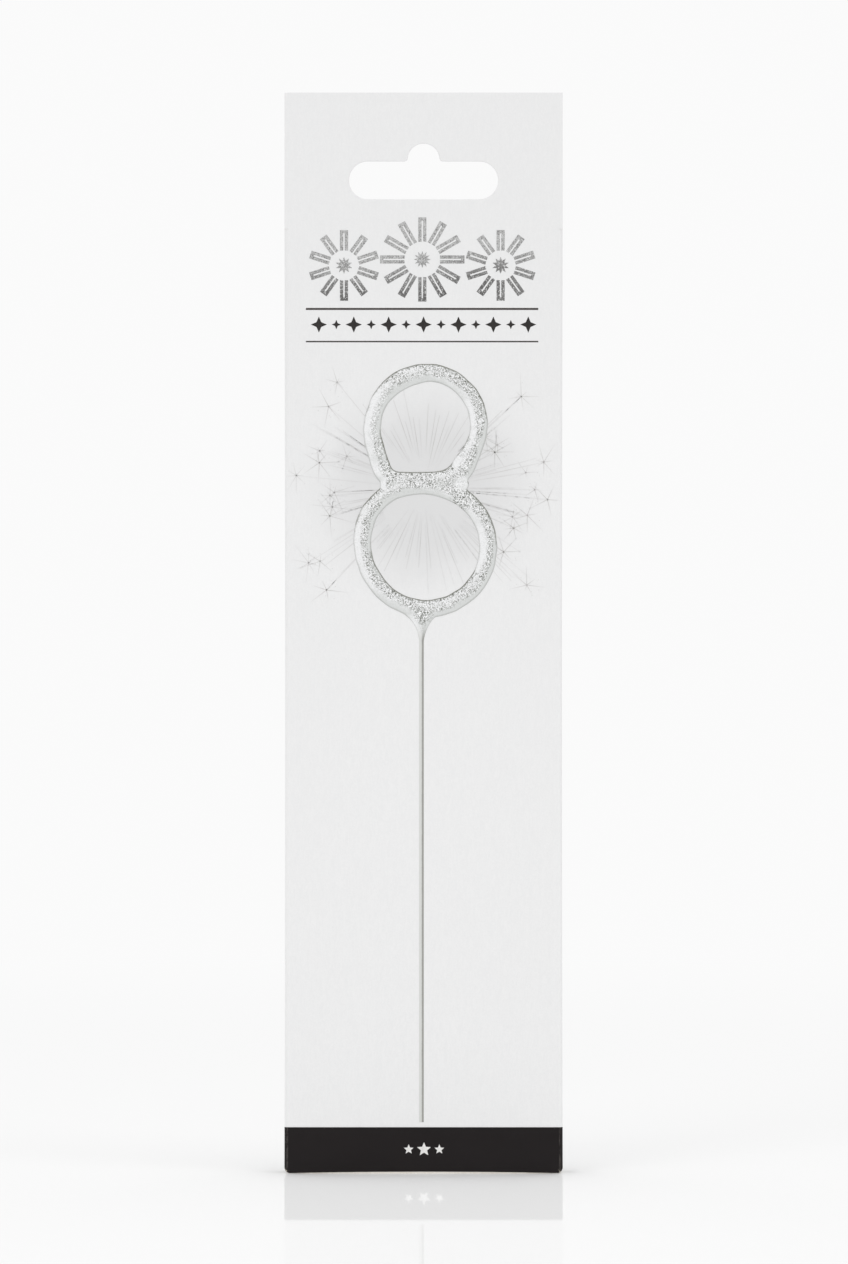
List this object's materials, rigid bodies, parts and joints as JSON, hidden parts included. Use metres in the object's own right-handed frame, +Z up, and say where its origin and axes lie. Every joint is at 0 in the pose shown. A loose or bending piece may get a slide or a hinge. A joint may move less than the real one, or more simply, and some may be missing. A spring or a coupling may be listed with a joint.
{
  "type": "numeral sparkler in a hanging card pack",
  "caption": "Wire numeral sparkler held by tabs in a card tray, inside a slim printed card sleeve that lifts off and has a hang slot in its flat header.",
  "frame": {"origin": "on the floor, under the middle of the pack's box", "axes": "+Z up along the pack, -Y out of the printed front, +X to the right seen from the front"},
  "size_m": [0.0656, 0.0083, 0.254],
  "materials": {
    "white_board": "satin coated white paperboard",
    "tray_board": "uncoated off-white paperboard",
    "black_print": "satin black ink on board",
    "glitter_print": "silver glitter ink",
    "steel_wire": "drawn steel wire",
    "sparkler_coat": "rough silver-grey glittering coat"
  },
  "bodies": {
    "tray": {"tray_back": "tray_board", "tray_foot": "tray_board", "tray_left_wall": "tray_board", "tray_right_wall": "tray_board", "upper_wire_tab": "tray_board", "lower_wire_tab": "tray_board"},
    "sleeve": {"front_panel": "white_board", "back_panel": "white_board", "left_side_panel": "white_board", "right_side_panel": "white_board", "left_dust_flap": "white_board", "right_dust_flap": "white_board", "glue_flap": "white_board", "top_panel": "white_board", "header_backing": "white_board", "base_band": "black_print", "numeral_print": "glitter_print"},
    "sparkler": {"stem_wire": "steel_wire", "lower_loop_wire": "steel_wire", "upper_loop_wire": "steel_wire", "sparkler_coating": "sparkler_coat"}
  },
  "joints": [
    {"name": "sleeve_lift", "type": "slide", "parent": "tray", "child": "sleeve", "axis": [0, 0, 1], "range_m": [0, 0.205]},
    {"name": "sparkler_slide", "type": "slide", "parent": "tray", "child": "sparkler", "axis": [0, 0, 1], "range_m": [0, 0.03]}
  ]
}
